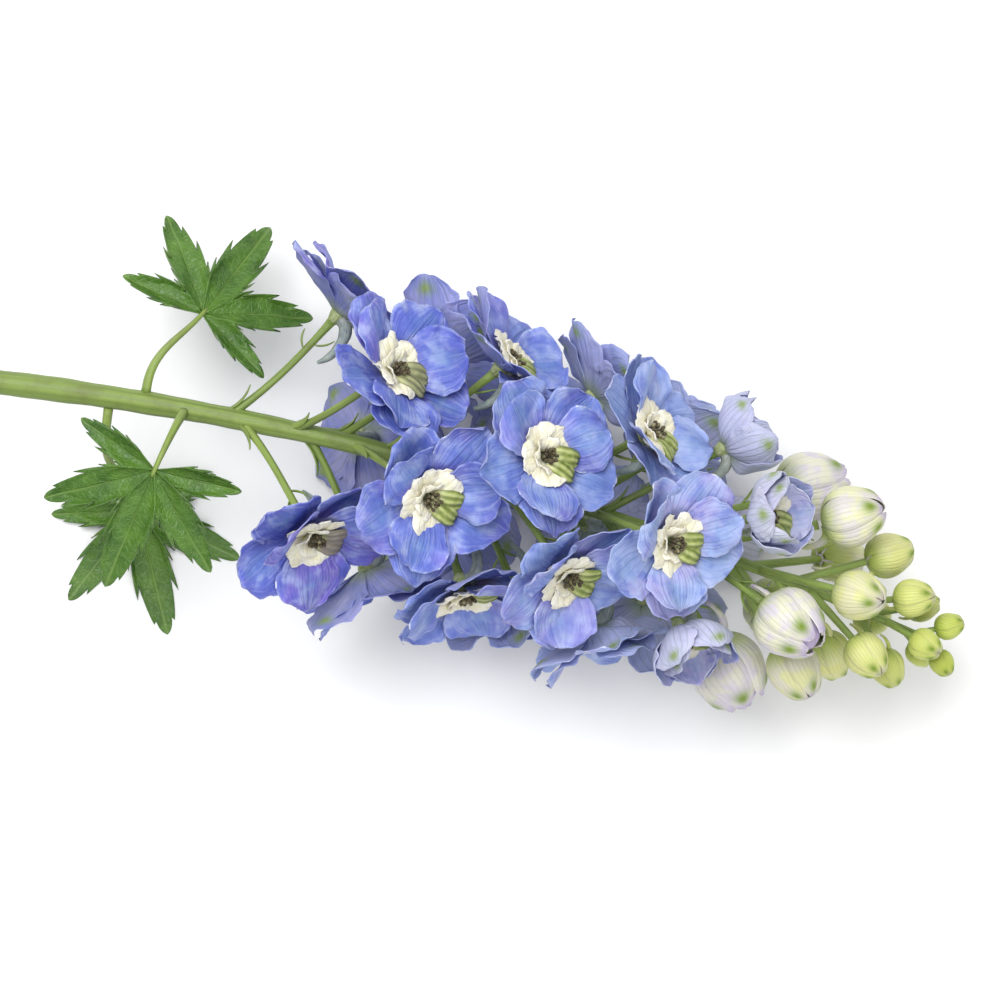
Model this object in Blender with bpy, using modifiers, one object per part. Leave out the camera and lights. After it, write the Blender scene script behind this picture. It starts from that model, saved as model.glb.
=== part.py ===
"""A cut delphinium flower spike that lies on a surface, with its tip toward +X.

Forty-four flowers stand round one stem at the golden angle, from open florets at the foot to closed buds at
the tip. The florets underneath are pressed onto the surface, z = 0. The origin is on that surface, at the
middle of the box round the whole spike.
"""

import math

import bmesh
import bpy
import numpy as np
from mathutils import Matrix, Vector

MM = 0.001
DEGREE = math.pi / 180

# Stem, with distances measured along it from its cut end
STEM_LENGTH = 356 * MM
STEM_HEIGHT = 57 * MM
STEM_ARC = 60 * MM
STEM_SAG = 9 * MM
STEM_RADIUS = 4.6 * MM
STEM_TIP_RADIUS = 1.2 * MM
BOX_MIDDLE_X = 181.4 * MM
BOX_MIDDLE_Y = -0.2 * MM

# Flowers, numbered from the foot of the spike
OPEN_FLORETS = 21
HALF_OPEN_FLORETS = 4
OPENING_BUDS = 5
CLOSED_BUDS = 14
FIRST_FLOWER = 132 * MM
FIRST_STEP = 7.4 * MM
STEP_SHRINK = 0.1 * MM
GOLDEN_ANGLE = 137.508 * DEGREE
REACH_AT = (0, 20, 29, 43)
REACH = (42 * MM, 36 * MM, 26 * MM, 4 * MM)

# How a floret faces: outward, leaning toward the tip, and turned face down where it lies on the surface
LEAN = 33 * DEGREE
HALF_OPEN_LEAN = 40 * DEGREE
OPENING_LEAN = 50 * DEGREE
CLOSED_LEAN = 56 * DEGREE
LEAN_UNDERNEATH = 20 * DEGREE
FREE_BEYOND = 42 * DEGREE
PRESSED_CLOSER = 12 * DEGREE
SETTLE_REACH = 6 * MM
PRESSED_BY = 1.6 * MM

# Sepals and spur of a floret
SEPAL_THICKNESS = 0.8 * MM
SEPAL_ROOT = 2.2 * MM
OUTER_SEPALS = 5
INNER_SEPALS = 3
SPUR_LENGTH = 17 * MM
HUB_RADIUS = 3.2 * MM
HUB_DEPTH = 3.4 * MM
HUB_TOP = 1.9 * MM
INNER_ROOT = 1.4 * MM
GAP = 0.3 * MM

# Palmate leaves at the foot of the spike
LEAF_LENGTH = 46 * MM
LEAF_SPREAD = 125 * DEGREE
LEAF_LOBES = (0.66, 0.88, 1, 0.88, 0.66)
LEAF_THICKNESS = 0.8 * MM
PETIOLE_RADIUS = 1.3 * MM

# White rosette at the middle of an open floret, with the nectary's tongue
BEE_FOOT = 2.2 * MM
BEE_PETAL = 10 * MM
BEE_SLOPE = 38 * DEGREE
BEE_LOBES = 5
BEE_LOBE_RISE = 0.9 * MM
BEE_HOLLOW = 2.6 * MM
TONGUE_START = 3.4 * MM
TONGUE_AT = (2 * MM, 8 * MM, 13 * MM)
TONGUE_RADII = (1.6 * MM, 2.4 * MM, 2.0 * MM)

# Buds, the widest first
OPENING_WIDTHS = (25 * MM, 20 * MM)
CLOSED_WIDTH = 17.5 * MM
LAST_BUD_SIZE = 0.45

PEDICEL_RADIUS = 1.35 * MM
SEED = 62


def interpolate(value, places, values):
    return float(np.interp(value, places, values))


def smooth(value, low, high):
    """0 below low, 1 above high, and an S-shaped ramp between them."""
    t = min(max((value - low) / (high - low), 0), 1)
    return t * t * (3 - 2 * t)


def stem_point(s):
    """Centre of the stem at s: a shallow sideways arc that sags a little toward both ends."""
    t = s / STEM_LENGTH
    return Vector((
        s - BOX_MIDDLE_X,
        STEM_ARC * (0.1 - (t - 0.4) ** 2) - BOX_MIDDLE_Y,
        STEM_HEIGHT - STEM_SAG * (2 * t - 1) ** 2,
    ))


def stem_frame(s):
    """Unit vectors along the stem, sideways from it (+Y for a stem along +X) and up from it."""
    along = (stem_point(s + MM) - stem_point(s - MM)).normalized()
    side = Vector((0, 0, 1)).cross(along).normalized()
    return along, side, along.cross(side)


def stem_radius(s):
    return STEM_RADIUS + (STEM_TIP_RADIUS - STEM_RADIUS) * s / STEM_LENGTH


def flower_place(index):
    """(distance along the stem, angle round it, distance out from it) of one flower."""
    s = FIRST_FLOWER + FIRST_STEP * index - STEP_SHRINK * index**2 / 2
    return s, GOLDEN_ANGLE * index, interpolate(index, REACH_AT, REACH)


def flower_frame(index, lean, spin):
    """Matrix of a flower: origin at its receptacle, +Z out of its face and +X toward the spike's tip.

    A flower below the stem turns to face straight down. The second value is its freedom: 0 for one that
    faces the surface, and 1 for one that the surface doesn't turn.
    """
    s, angle, reach = flower_place(index)
    along, side, up = stem_frame(s)
    centre = stem_point(s) + reach * (side * math.cos(angle) + up * math.sin(angle))
    from_down = math.acos(max(-1, min(1, -math.sin(angle))))
    freedom = smooth(from_down, 0, FREE_BEYOND)
    turned = from_down * freedom
    outward = side * math.copysign(math.sin(turned), math.cos(angle)) - up * math.cos(turned)
    tilt = LEAN_UNDERNEATH + (lean - LEAN_UNDERNEATH) * freedom
    face = (outward * math.cos(tilt) + along * math.sin(tilt)).normalized()
    tipward = (along - face * along.dot(face)).normalized()
    frame = Matrix((tipward, face.cross(tipward), face)).transposed().to_4x4()
    return Matrix.Translation(centre) @ frame @ Matrix.Rotation(spin, 4, "Z"), freedom


def sepal_surface(u, v, sepal):
    """Middle surface of a sepal, u from root to tip and v from edge to edge.

    Its midrib is an arc that leaves the flower's middle at the angle rise above the face's plane and ends at
    the angle spread. The blade is widest past its middle, its edges lift with the square of v, it is turned
    about its midrib by twist, and a wave runs round its outer edge.
    """
    rise, spread, length = sepal["rise"], sepal["spread"], sepal["length"]
    end = u + 0.05 * u**4 * (1 - v**2)
    slope = rise + (spread - rise) * end
    bend = length / (spread - rise)
    out = SEPAL_ROOT + bend * (np.sin(slope) - math.sin(rise))
    height = bend * (math.cos(rise) - np.cos(slope))
    half = sepal["half_width"] * np.sin(np.pi * (0.972 * u) ** 1.45) ** 0.75
    wave = sepal["wave"] * u**2 * v**2 * np.sin(5.5 * u + 1.6 * v + sepal["phase"])
    lift = sepal["cupping"] * half * v**2 + half * v * math.sin(sepal["twist"]) + wave
    across = half * v * math.cos(sepal["twist"])
    out = out - lift * np.sin(slope)
    height = height + lift * np.cos(slope) + INNER_ROOT * sepal["inner"]
    c, s = math.cos(sepal["angle"]), math.sin(sepal["angle"])
    return np.stack([out * c - across * s, out * s + across * c, height], axis=-1)


OPEN = dict(length=26.5 * MM, half_width=10.8 * MM, rise=22, spread=15, cupping=0.1, wave=1.1 * MM, jitter=4)
HALF_OPEN = dict(length=23 * MM, half_width=8.4 * MM, rise=8, spread=98, cupping=0.36, wave=0.6 * MM, jitter=1)


def sepals_of(stage, index, closer):
    """The sepals of one flower, outer layer first, each with its own small differences."""
    draw = np.random.default_rng(SEED + index)
    size = interpolate(index, (0, 21, 25), (1.04, 0.94, 0.9))
    found = []
    for k in range(OUTER_SEPALS + INNER_SEPALS):
        inner = k >= OUTER_SEPALS
        count, number = (INNER_SEPALS, k - OUTER_SEPALS) if inner else (OUTER_SEPALS, k)
        turn, grow, lift, phase = draw.uniform(-1, 1, 4)
        found.append(dict(
            angle=2 * math.pi * number / count + (38 * inner + stage["jitter"] * turn) * DEGREE,
            length=stage["length"] * size * (1 + 0.05 * grow) * (0.9 if inner else 1),
            half_width=stage["half_width"] * size * (0.96 if inner else 1),
            rise=(stage["rise"] + 11 * inner + 2 * lift) * DEGREE + closer,
            spread=(stage["spread"] + 10 * inner + 3 * lift) * DEGREE + closer,
            cupping=stage["cupping"],
            twist=5 * DEGREE,
            wave=stage["wave"],
            phase=math.pi * phase,
            inner=inner,
        ))
    return found


def new_material(name, colour, roughness):
    made = bpy.data.materials.new(name)
    made.use_nodes = True
    shader = made.node_tree.nodes["Principled BSDF"]
    shader.inputs["Base Color"].default_value = (*colour, 1)
    shader.inputs["Roughness"].default_value = roughness
    shader.inputs["Metallic"].default_value = 0
    return made


def new_object(name, mesh):
    made = bpy.data.objects.new(name, mesh)
    bpy.context.scene.collection.objects.link(made)
    return made


def grid_points(rows, columns):
    """(u, v) of the vertices of a grid made by create_grid, in its order."""
    grid = bmesh.new()
    bmesh.ops.create_grid(grid, x_segments=columns, y_segments=rows, size=1)
    flat = np.array([vert.co[:2] for vert in grid.verts])
    return grid, (flat[:, 1] + 1) / 2, flat[:, 0]


def blade(name, surface, rows, columns, matrix, thickness):
    """A thin curved blade, split into triangles alike on both faces and pressed flat on the surface."""
    grid, u, v = grid_points(rows, columns)
    points = surface(u, v) @ np.array(matrix.to_3x3()).T + np.array(matrix.translation)
    points[:, 2] = np.maximum(points[:, 2], thickness / 2)
    for vert, point in zip(grid.verts, points):
        vert.co = point
    bmesh.ops.remove_doubles(grid, verts=grid.verts, dist=1e-6)
    bmesh.ops.triangulate(grid, faces=grid.faces)
    mesh = bpy.data.meshes.new(name)
    grid.to_mesh(mesh)
    grid.free()
    made = new_object(name, mesh)
    shell = made.modifiers.new("thickness", "SOLIDIFY")
    shell.thickness = thickness
    shell.offset = 0
    return made


def tube(name, points, radii, resolution):
    """A tapered round tube through the points, made a mesh with its caps welded."""
    curve = bpy.data.curves.new(name, "CURVE")
    curve.dimensions = "3D"
    curve.bevel_depth = 1
    curve.bevel_resolution = resolution
    curve.use_fill_caps = True
    spline = curve.splines.new("POLY")
    spline.points.add(len(points) - 1)
    for place, point, radius in zip(spline.points, points, radii):
        place.co = (*point, 1)
        place.radius = radius
    holder = new_object(name, curve)
    graph = bpy.context.evaluated_depsgraph_get()
    mesh = bpy.data.meshes.new_from_object(holder.evaluated_get(graph))
    bpy.data.objects.remove(holder)
    bpy.data.curves.remove(curve)
    welded = bmesh.new()
    welded.from_mesh(mesh)
    bmesh.ops.remove_doubles(welded, verts=welded.verts, dist=1e-6)
    bmesh.ops.recalc_face_normals(welded, faces=welded.faces)
    welded.to_mesh(mesh)
    welded.free()
    return new_object(name, mesh)


def bezier(start, start_handle, end_handle, end, count):
    """Points along one cubic curve."""
    found = []
    for t in np.linspace(0, 1, count):
        found.append(
            start * (1 - t) ** 3
            + start_handle * (3 * t * (1 - t) ** 2)
            + end_handle * (3 * t**2 * (1 - t))
            + end * t**3
        )
    return found


def fuse(name, pieces, material, matrix, collection):
    """One object of the pieces' Boolean union, with its origin at the matrix."""
    joined = bpy.data.collections.new(name + "_pieces")
    bpy.context.scene.collection.children.link(joined)
    body = pieces[0]
    for piece in pieces[1:]:
        bpy.context.scene.collection.objects.unlink(piece)
        joined.objects.link(piece)
    union = body.modifiers.new("union", "BOOLEAN")
    union.operation = "UNION"
    union.operand_type = "COLLECTION"
    union.collection = joined
    union.solver = "EXACT"
    graph = bpy.context.evaluated_depsgraph_get()
    mesh = bpy.data.meshes.new_from_object(body.evaluated_get(graph))
    for piece in pieces:
        bpy.data.objects.remove(piece)
    bpy.data.collections.remove(joined)
    points = np.empty(len(mesh.vertices) * 3)
    mesh.vertices.foreach_get("co", points)
    height = points[2::3]
    height[height < 0.15 * MM] = 0
    mesh.vertices.foreach_set("co", points)
    mesh.transform(matrix.inverted())
    mesh.materials.clear()
    mesh.materials.append(material)
    mesh.name = name
    mesh.shade_smooth()
    mesh.set_sharp_from_angle(angle=40 * DEGREE)
    made = bpy.data.objects.new(name, mesh)
    made.matrix_world = matrix
    collection.objects.link(made)
    return made


def hub(name, matrix):
    """The receptacle: a short cone behind the face that every sepal's root is sunk into."""
    cone = bmesh.new()
    bmesh.ops.create_cone(
        cone, cap_ends=True, segments=6, radius1=PEDICEL_RADIUS * 1.3, radius2=HUB_RADIUS, depth=HUB_DEPTH + HUB_TOP
    )
    bmesh.ops.translate(cone, verts=cone.verts, vec=(0, 0, (HUB_TOP - HUB_DEPTH) / 2))
    mesh = bpy.data.meshes.new(name)
    cone.to_mesh(mesh)
    cone.free()
    mesh.transform(matrix)
    return new_object(name, mesh)


def spur(name, matrix, scale):
    """The hooked spur that runs back from the tipward side of a flower."""
    length = SPUR_LENGTH * scale
    route = bezier(
        Vector((2.6 * MM, 0, -0.6 * MM)),
        Vector((0.5 * length, 0, -0.1 * length)),
        Vector((0.55 * length, 0, -0.7 * length)),
        Vector((0.34 * length, 0, -length)),
        4,
    )
    radii = [2.1 * MM * scale, 1.9 * MM * scale, 1.5 * MM * scale, 0.9 * MM * scale]
    return tube(name, [matrix @ point for point in route], radii, 0)


def settled(matrix, sepals):
    """The floret's matrix, moved up or down so that one close to the surface is lightly pressed onto it."""
    grid, u, v = grid_points(3, 2)
    grid.free()
    turn = np.array(matrix.to_3x3())
    lowest = min((sepal_surface(u, v, sepal) @ turn.T)[:, 2].min() for sepal in sepals)
    lowest += matrix.translation.z
    if lowest > SETTLE_REACH:
        return matrix
    return Matrix.Translation((0, 0, -PRESSED_BY - lowest)) @ matrix


def open_floret(index, materials, collection):
    """Sepals, spur and white rosette of one open floret. Returns its matrix."""
    draw = np.random.default_rng(SEED + 100 + index)
    lean, spin = draw.uniform(-1, 1, 2)
    matrix, freedom = flower_frame(index, LEAN + 4 * DEGREE * lean, 16 * DEGREE * spin)
    closer = PRESSED_CLOSER * (1 - freedom)
    sepals = sepals_of(OPEN, index, closer)
    matrix = settled(matrix, sepals)
    name = f"floret_{index + 1:02d}"
    pieces = [hub(name + "_hub", matrix), spur(name + "_spur", matrix, 1)]
    for sepal in sepals:
        rows, columns = (2, 1) if sepal["inner"] else (3, 2)
        pieces.append(blade(
            name + "_sepal", lambda u, v: sepal_surface(u, v, sepal), rows, columns, matrix, SEPAL_THICKNESS
        ))
    fuse(name, pieces, materials["sepal"], matrix, collection)
    bee(index, matrix, closer, materials, collection)
    return matrix


def bee(index, matrix, closer, materials, collection):
    """The white rosette: a lobed dish that widens upward, with the nectary's tongue on its tipward side."""
    name = f"bee_{index + 1:02d}"
    segments = 3 * BEE_LOBES
    slope = BEE_SLOPE + closer
    rim, tall = BEE_FOOT + BEE_PETAL * math.cos(slope), BEE_PETAL * math.sin(slope)
    cone = bmesh.new()
    bmesh.ops.create_cone(
        cone, cap_ends=True, cap_tris=True, segments=segments, radius1=BEE_FOOT, radius2=rim, depth=tall
    )
    bmesh.ops.rotate(cone, verts=cone.verts, matrix=Matrix.Rotation(math.pi / segments, 3, "Z"))
    for vert in cone.verts:
        angle = math.atan2(vert.co.y, vert.co.x)
        out = math.hypot(vert.co.x, vert.co.y)
        petal = abs(math.cos(BEE_LOBES * angle / 2)) ** 0.7
        if vert.co.z > 0 and out > BEE_FOOT:
            shape = 0.74 + 0.26 * petal
            vert.co.x *= shape
            vert.co.y *= shape
            vert.co.z += BEE_LOBE_RISE * petal
        elif vert.co.z > 0:
            vert.co.z -= BEE_HOLLOW
        vert.co.z += HUB_TOP + GAP + tall / 2
    mesh = bpy.data.meshes.new(name + "_dish")
    cone.to_mesh(mesh)
    cone.free()
    mesh.transform(matrix)
    dish = new_object(name + "_dish", mesh)
    route = [Vector((k * math.cos(slope), 0, TONGUE_START + k * math.sin(slope))) for k in TONGUE_AT]
    tongue = tube(name + "_tongue", [matrix @ point for point in route], TONGUE_RADII, 0)
    fuse(name, [dish, tongue], materials["bee"], matrix, collection)


def half_open_floret(index, number, materials, collection):
    """A cup of sepals that have begun to spread, with its spur. Returns its matrix."""
    matrix, _ = flower_frame(index, HALF_OPEN_LEAN, 0)
    sepals = sepals_of(HALF_OPEN, index, 0)
    matrix = settled(matrix, sepals)
    name = f"half_open_{number + 1}"
    pieces = [hub(name + "_hub", matrix), spur(name + "_spur", matrix, 0.9)]
    for sepal in sepals:
        rows, columns = (2, 1) if sepal["inner"] else (3, 2)
        pieces.append(blade(
            name + "_sepal", lambda u, v: sepal_surface(u, v, sepal), rows, columns, matrix, SEPAL_THICKNESS
        ))
    fuse(name, pieces, materials["half_open"], matrix, collection)
    return matrix


def bud_body(name, matrix, width, height):
    """An ovoid of closed sepals with a groove along each seam, its foot at the origin and its tip toward +Z."""
    ball = bmesh.new()
    bmesh.ops.create_uvsphere(ball, u_segments=8, v_segments=4, radius=1)
    for vert in ball.verts:
        angle = math.atan2(vert.co.y, vert.co.x)
        groove = 0.9 + 0.1 * math.cos(4 * angle)
        fuller = 1 - 0.18 * vert.co.z
        vert.co.x *= width / 2 * groove * fuller
        vert.co.y *= width / 2 * groove * fuller
        vert.co.z = (vert.co.z + 1) * height / 2
    mesh = bpy.data.meshes.new(name)
    ball.to_mesh(mesh)
    ball.free()
    mesh.transform(matrix)
    return new_object(name, mesh)


def opening_bud(index, number, materials, collection):
    """A large bud that is about to open, with its spur. Returns its matrix."""
    matrix, _ = flower_frame(index, OPENING_LEAN, 0)
    name = f"opening_{number + 1}"
    width = interpolate(number, (0, OPENING_BUDS - 1), OPENING_WIDTHS)
    pieces = [
        bud_body(name + "_body", matrix @ Matrix.Translation((0, 0, -1.5 * MM)), width, width * 1.1),
        hub(name + "_hub", matrix),
        spur(name + "_spur", matrix, 0.85),
    ]
    fuse(name, pieces, materials["opening"], matrix, collection)
    return matrix


def pedicel_foot(index, matrix):
    """Where a flower's stalk leaves the stem: as far behind the flower as its lean asks for."""
    s, _, reach = flower_place(index)
    along = stem_frame(s)[0]
    face = matrix.to_3x3() @ Vector((0, 0, 1))
    return s - 1.08 * reach * math.tan(math.asin(max(face.dot(along), math.sin(LEAN))))


def pedicel(index, matrix):
    """The stalk from the stem to just behind a flower's receptacle."""
    angle = flower_place(index)[1]
    foot = pedicel_foot(index, matrix)
    along, side, up = stem_frame(foot)
    outward = side * math.cos(angle) + up * math.sin(angle)
    face = matrix.to_3x3() @ Vector((0, 0, 1))
    start = stem_point(foot)
    end = matrix @ Vector((0, 0, -HUB_DEPTH - GAP))
    pull = 0.36 * (end - start).length
    route = bezier(start, start + (outward + along) * pull * 0.7, end - face * pull, end, 4)
    return tube("pedicel", route, [PEDICEL_RADIUS * k for k in (1.25, 1, 1, 1.15)], 0)


def closed_bud(index):
    """A closed green bud with its stalk, and its short spur if it is a large one. Returns the pieces."""
    matrix, _ = flower_frame(index, CLOSED_LEAN, 0)
    first = OPEN_FLORETS + HALF_OPEN_FLORETS + OPENING_BUDS
    size = interpolate(index, (first, first + CLOSED_BUDS - 1), (1, LAST_BUD_SIZE))
    width = CLOSED_WIDTH * size
    pieces = [bud_body("closed_bud", matrix @ Matrix.Translation((0, 0, -4 * MM * size)), width, width * 1.18)]
    if size > 0.8:
        pieces.append(spur("bud_spur", matrix, 0.7 * size))
    foot = pedicel_foot(index, matrix)
    pieces.append(tube(
        "bud_stalk",
        [stem_point(foot), (stem_point(foot) + matrix.translation) / 2, matrix.translation],
        [PEDICEL_RADIUS * k * (0.4 + 0.6 * size) for k in (1.2, 1, 1)],
        0,
    ))
    return pieces


def stem(matrices, materials, collection):
    """The rachis with every flower's stalk and the closed buds, which are one green body with it."""
    distances = np.linspace(0, STEM_LENGTH, 9)
    pieces = [tube("rachis", [stem_point(s) for s in distances], [stem_radius(s) for s in distances], 1)]
    for index, matrix in enumerate(matrices):
        pieces.append(pedicel(index, matrix))
    first = len(matrices)
    for index in range(first, first + CLOSED_BUDS):
        pieces.extend(closed_bud(index))
    place = Matrix.Translation(stem_point(0))
    fuse("stem", pieces, materials["stem"], place, collection)


def leaf_surface(u, v):
    """Middle surface of a leaf of five pointed lobes, u out from its stalk and v across.

    The outline falls from each lobe's tip to the notches beside it. The blade arches down toward its edge,
    and each lobe is folded up a little along its midrib.
    """
    angle = v * LEAF_SPREAD
    width = 2 * LEAF_SPREAD / len(LEAF_LOBES)
    number = np.clip(np.floor((angle + LEAF_SPREAD) / width), 0, len(LEAF_LOBES) - 1)
    middle = (number + 0.5) * width - LEAF_SPREAD
    off = np.abs(angle - middle) / (width / 2)
    reach = np.array(LEAF_LOBES)[number.astype(int)] * (1 - 0.6 * off**1.6)
    out = LEAF_LENGTH * u * reach
    height = -0.12 * LEAF_LENGTH * (u * reach) ** 2 + 0.1 * LEAF_LENGTH * u * off
    return np.stack([out * np.cos(angle), out * np.sin(angle), height], axis=-1)


def leaf(number, s, outward, base, pointing, materials, collection):
    """One leaf: its stalk leaves the stem at s along outward, and its blade starts at base and points away."""
    along, side, up = stem_frame(s)
    outward, pointing = Vector(outward), Vector(pointing).normalized()
    outward = (outward - along * along.dot(outward)).normalized()
    upper = (Vector((0, 0, 1)) - pointing * pointing.z).normalized()
    turn = Matrix((pointing, upper.cross(pointing), upper)).transposed().to_4x4()
    matrix = Matrix.Translation(stem_point(s) + Vector(base)) @ turn
    root = stem_point(s) + outward * (stem_radius(s) + GAP)
    start = root + outward * 2 * MM
    end = matrix @ Vector((2.5 * MM, 0, 0))
    pull = 0.4 * (end - start).length
    route = [root] + bezier(start, start + outward * pull, end - pointing * pull, end, 5)
    name = f"leaf_{number}"
    stalk = tube(name + "_stalk", route, [PETIOLE_RADIUS * k for k in (1.4, 1.2, 1, 0.9, 0.8, 0.6)], 0)
    plate = blade(name + "_blade", leaf_surface, 2, 4 * len(LEAF_LOBES), matrix, LEAF_THICKNESS)
    fuse(name, [plate, stalk], materials["leaf"], matrix, collection)


def leaves(materials, collection):
    """Three leaves: one that lies on the surface, one beside the stem and one across it."""
    leaf(1, 62 * MM, (0.1, -1, -0.1), (14 * MM, -36 * MM, -51 * MM), (0.45, -0.9, -0.1), materials, collection)
    leaf(2, 74 * MM, (0.2, 1, 0.1), (12 * MM, 34 * MM, -6 * MM), (0.35, 0.85, -0.5), materials, collection)
    leaf(3, 88 * MM, (-0.2, -0.3, 1), (-4 * MM, -22 * MM, 22 * MM), (-0.2, -1, -0.25), materials, collection)


def main():
    for old in list(bpy.data.objects):
        bpy.data.objects.remove(old)
    collection = bpy.data.collections.new("delphinium_spike")
    bpy.context.scene.collection.children.link(collection)
    materials = dict(
        sepal=new_material("sepal", (0.14, 0.2, 0.72), 0.5),
        bee=new_material("bee", (0.85, 0.82, 0.66), 0.55),
        half_open=new_material("half_open", (0.42, 0.45, 0.75), 0.5),
        opening=new_material("opening", (0.6, 0.66, 0.5), 0.5),
        stem=new_material("stem", (0.16, 0.26, 0.06), 0.5),
        leaf=new_material("leaf", (0.06, 0.16, 0.02), 0.5),
    )
    matrices = []
    for index in range(OPEN_FLORETS):
        matrices.append(open_floret(index, materials, collection))
    for number in range(HALF_OPEN_FLORETS):
        matrices.append(half_open_floret(OPEN_FLORETS + number, number, materials, collection))
    for number in range(OPENING_BUDS):
        index = OPEN_FLORETS + HALF_OPEN_FLORETS + number
        matrices.append(opening_bud(index, number, materials, collection))
    stem(matrices, materials, collection)
    leaves(materials, collection)


main()
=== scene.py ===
"""A cut delphinium flower spike that lies on a pale surface, seen from above."""

import math

import bpy
import numpy as np
from mathutils import Matrix


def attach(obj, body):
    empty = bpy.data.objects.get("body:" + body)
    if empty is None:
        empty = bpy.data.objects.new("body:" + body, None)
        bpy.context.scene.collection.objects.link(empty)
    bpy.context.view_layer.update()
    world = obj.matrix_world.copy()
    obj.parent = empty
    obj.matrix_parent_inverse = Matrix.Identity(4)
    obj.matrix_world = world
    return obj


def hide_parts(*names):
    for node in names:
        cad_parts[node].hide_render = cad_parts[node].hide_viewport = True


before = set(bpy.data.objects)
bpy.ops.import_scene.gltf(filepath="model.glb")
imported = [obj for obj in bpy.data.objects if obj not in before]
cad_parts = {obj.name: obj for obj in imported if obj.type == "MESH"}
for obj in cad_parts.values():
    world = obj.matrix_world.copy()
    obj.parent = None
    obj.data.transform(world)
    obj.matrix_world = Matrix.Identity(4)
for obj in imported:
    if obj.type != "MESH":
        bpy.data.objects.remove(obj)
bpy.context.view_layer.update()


# The stem is one green, faintly ribbed stalk, cut off square at its lower end. It grows in a shallow arc and
# sags toward both ends, and forty-four flowers stand round it at the golden angle on stalks of their own. Each
# stalk is a thin green tube with a leafy bract at its foot and two narrow bracteoles close to the flower.
MM = 0.001
DEGREE = math.pi / 180
STEM_LENGTH = 356 * MM
STEM_HEIGHT = 57 * MM
STEM_ARC = 60 * MM
STEM_SAG = 9 * MM
STEM_RADIUS = 4.6 * MM
STEM_TIP_RADIUS = 1.2 * MM
BOX_MIDDLE_X = 181.4 * MM
BOX_MIDDLE_Y = -0.2 * MM
OPEN_FLORETS = 21
HALF_OPEN_FLORETS = 4
OPENING_BUDS = 5
CLOSED_BUDS = 14
FLOWERS = OPEN_FLORETS + HALF_OPEN_FLORETS + OPENING_BUDS + CLOSED_BUDS
FIRST_FLOWER = 132 * MM
FIRST_STEP = 7.4 * MM
STEP_SHRINK = 0.1 * MM
GOLDEN_ANGLE = 137.508 * DEGREE
REACH_AT = (0, 20, 29, 43)
REACH = (42 * MM, 36 * MM, 26 * MM, 4 * MM)
LEAN = 33 * DEGREE
HALF_OPEN_LEAN = 40 * DEGREE
OPENING_LEAN = 50 * DEGREE
CLOSED_LEAN = 56 * DEGREE
LEAN_UNDERNEATH = 20 * DEGREE
FREE_BEYOND = 42 * DEGREE
PEDICEL_RADIUS = 1.35 * MM
HUB_DEPTH = 3.4 * MM
GAP = 0.3 * MM
LAST_BUD_SIZE = 0.45
LOWEST = 0.35 * MM
BEND_SOFTNESS = 0.5 * MM
SEED = 62


def unit(vectors):
    return vectors / np.maximum(np.linalg.norm(vectors, axis=-1, keepdims=True), 1e-12)


def smooth(value, low, high):
    """0 below low, 1 above high, and t squared times (3 - 2t) between them."""
    t = np.clip((value - low) / (high - low), 0, 1)
    return t * t * (3 - 2 * t)


def stem_point(s):
    """x runs along the stem, y is the arc times (0.1 - (t - 0.4) squared), and z is the height less the sag
    times (2t - 1) squared, with t the share of the stem's length."""
    s = np.asarray(s, float)
    t = s / STEM_LENGTH
    return np.stack([
        s - BOX_MIDDLE_X,
        STEM_ARC * (0.1 - (t - 0.4) ** 2) - BOX_MIDDLE_Y,
        STEM_HEIGHT - STEM_SAG * (2 * t - 1) ** 2,
    ], axis=-1)


def stem_frame(s):
    """Unit vectors along the stem, sideways from it and up from it."""
    along = unit(stem_point(s + MM) - stem_point(s - MM))
    side = unit(np.cross((0, 0, 1), along))
    return along, side, np.cross(along, side)


def stem_radius(s):
    return STEM_RADIUS + (STEM_TIP_RADIUS - STEM_RADIUS) * s / STEM_LENGTH


def flower_place(index):
    """(distance along the stem, angle round it, distance out from it) of one flower."""
    s = FIRST_FLOWER + FIRST_STEP * index - STEP_SHRINK * index**2 / 2
    return s, GOLDEN_ANGLE * index, float(np.interp(index, REACH_AT, REACH))


def flower_frame(index, lean, spin):
    """(turn, centre, freedom) of a flower: its +Z points out of its face and its +X toward the spike's tip.

    A flower below the stem turns to face straight down, and its freedom is 0 there and 1 well away from it.
    """
    s, angle, reach = flower_place(index)
    along, side, up = stem_frame(s)
    centre = stem_point(s) + reach * (side * math.cos(angle) + up * math.sin(angle))
    from_down = math.acos(max(-1, min(1, -math.sin(angle))))
    freedom = float(smooth(from_down, 0, FREE_BEYOND))
    turned = from_down * freedom
    outward = side * math.copysign(math.sin(turned), math.cos(angle)) - up * math.cos(turned)
    tilt = LEAN_UNDERNEATH + (lean - LEAN_UNDERNEATH) * freedom
    face = unit(outward * math.cos(tilt) + along * math.sin(tilt))
    tipward = unit(along - face * along.dot(face))
    turn = np.column_stack([tipward, np.cross(face, tipward), face])
    c, s = math.cos(spin), math.sin(spin)
    return turn @ np.array([[c, -s, 0], [s, c, 0], [0, 0, 1]]), centre, freedom


def placed(points, flower):
    """Points of a flower's own frame in the spike's frame."""
    turn, centre = flower[:2]
    return points @ turn.T + centre


def bezier(start, start_handle, end_handle, end, count):
    """count points along one cubic curve."""
    t = np.linspace(0, 1, count)[:, None]
    return (
        start * (1 - t) ** 3 + start_handle * 3 * t * (1 - t) ** 2 + end_handle * 3 * t**2 * (1 - t) + end * t**3
    )


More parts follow.
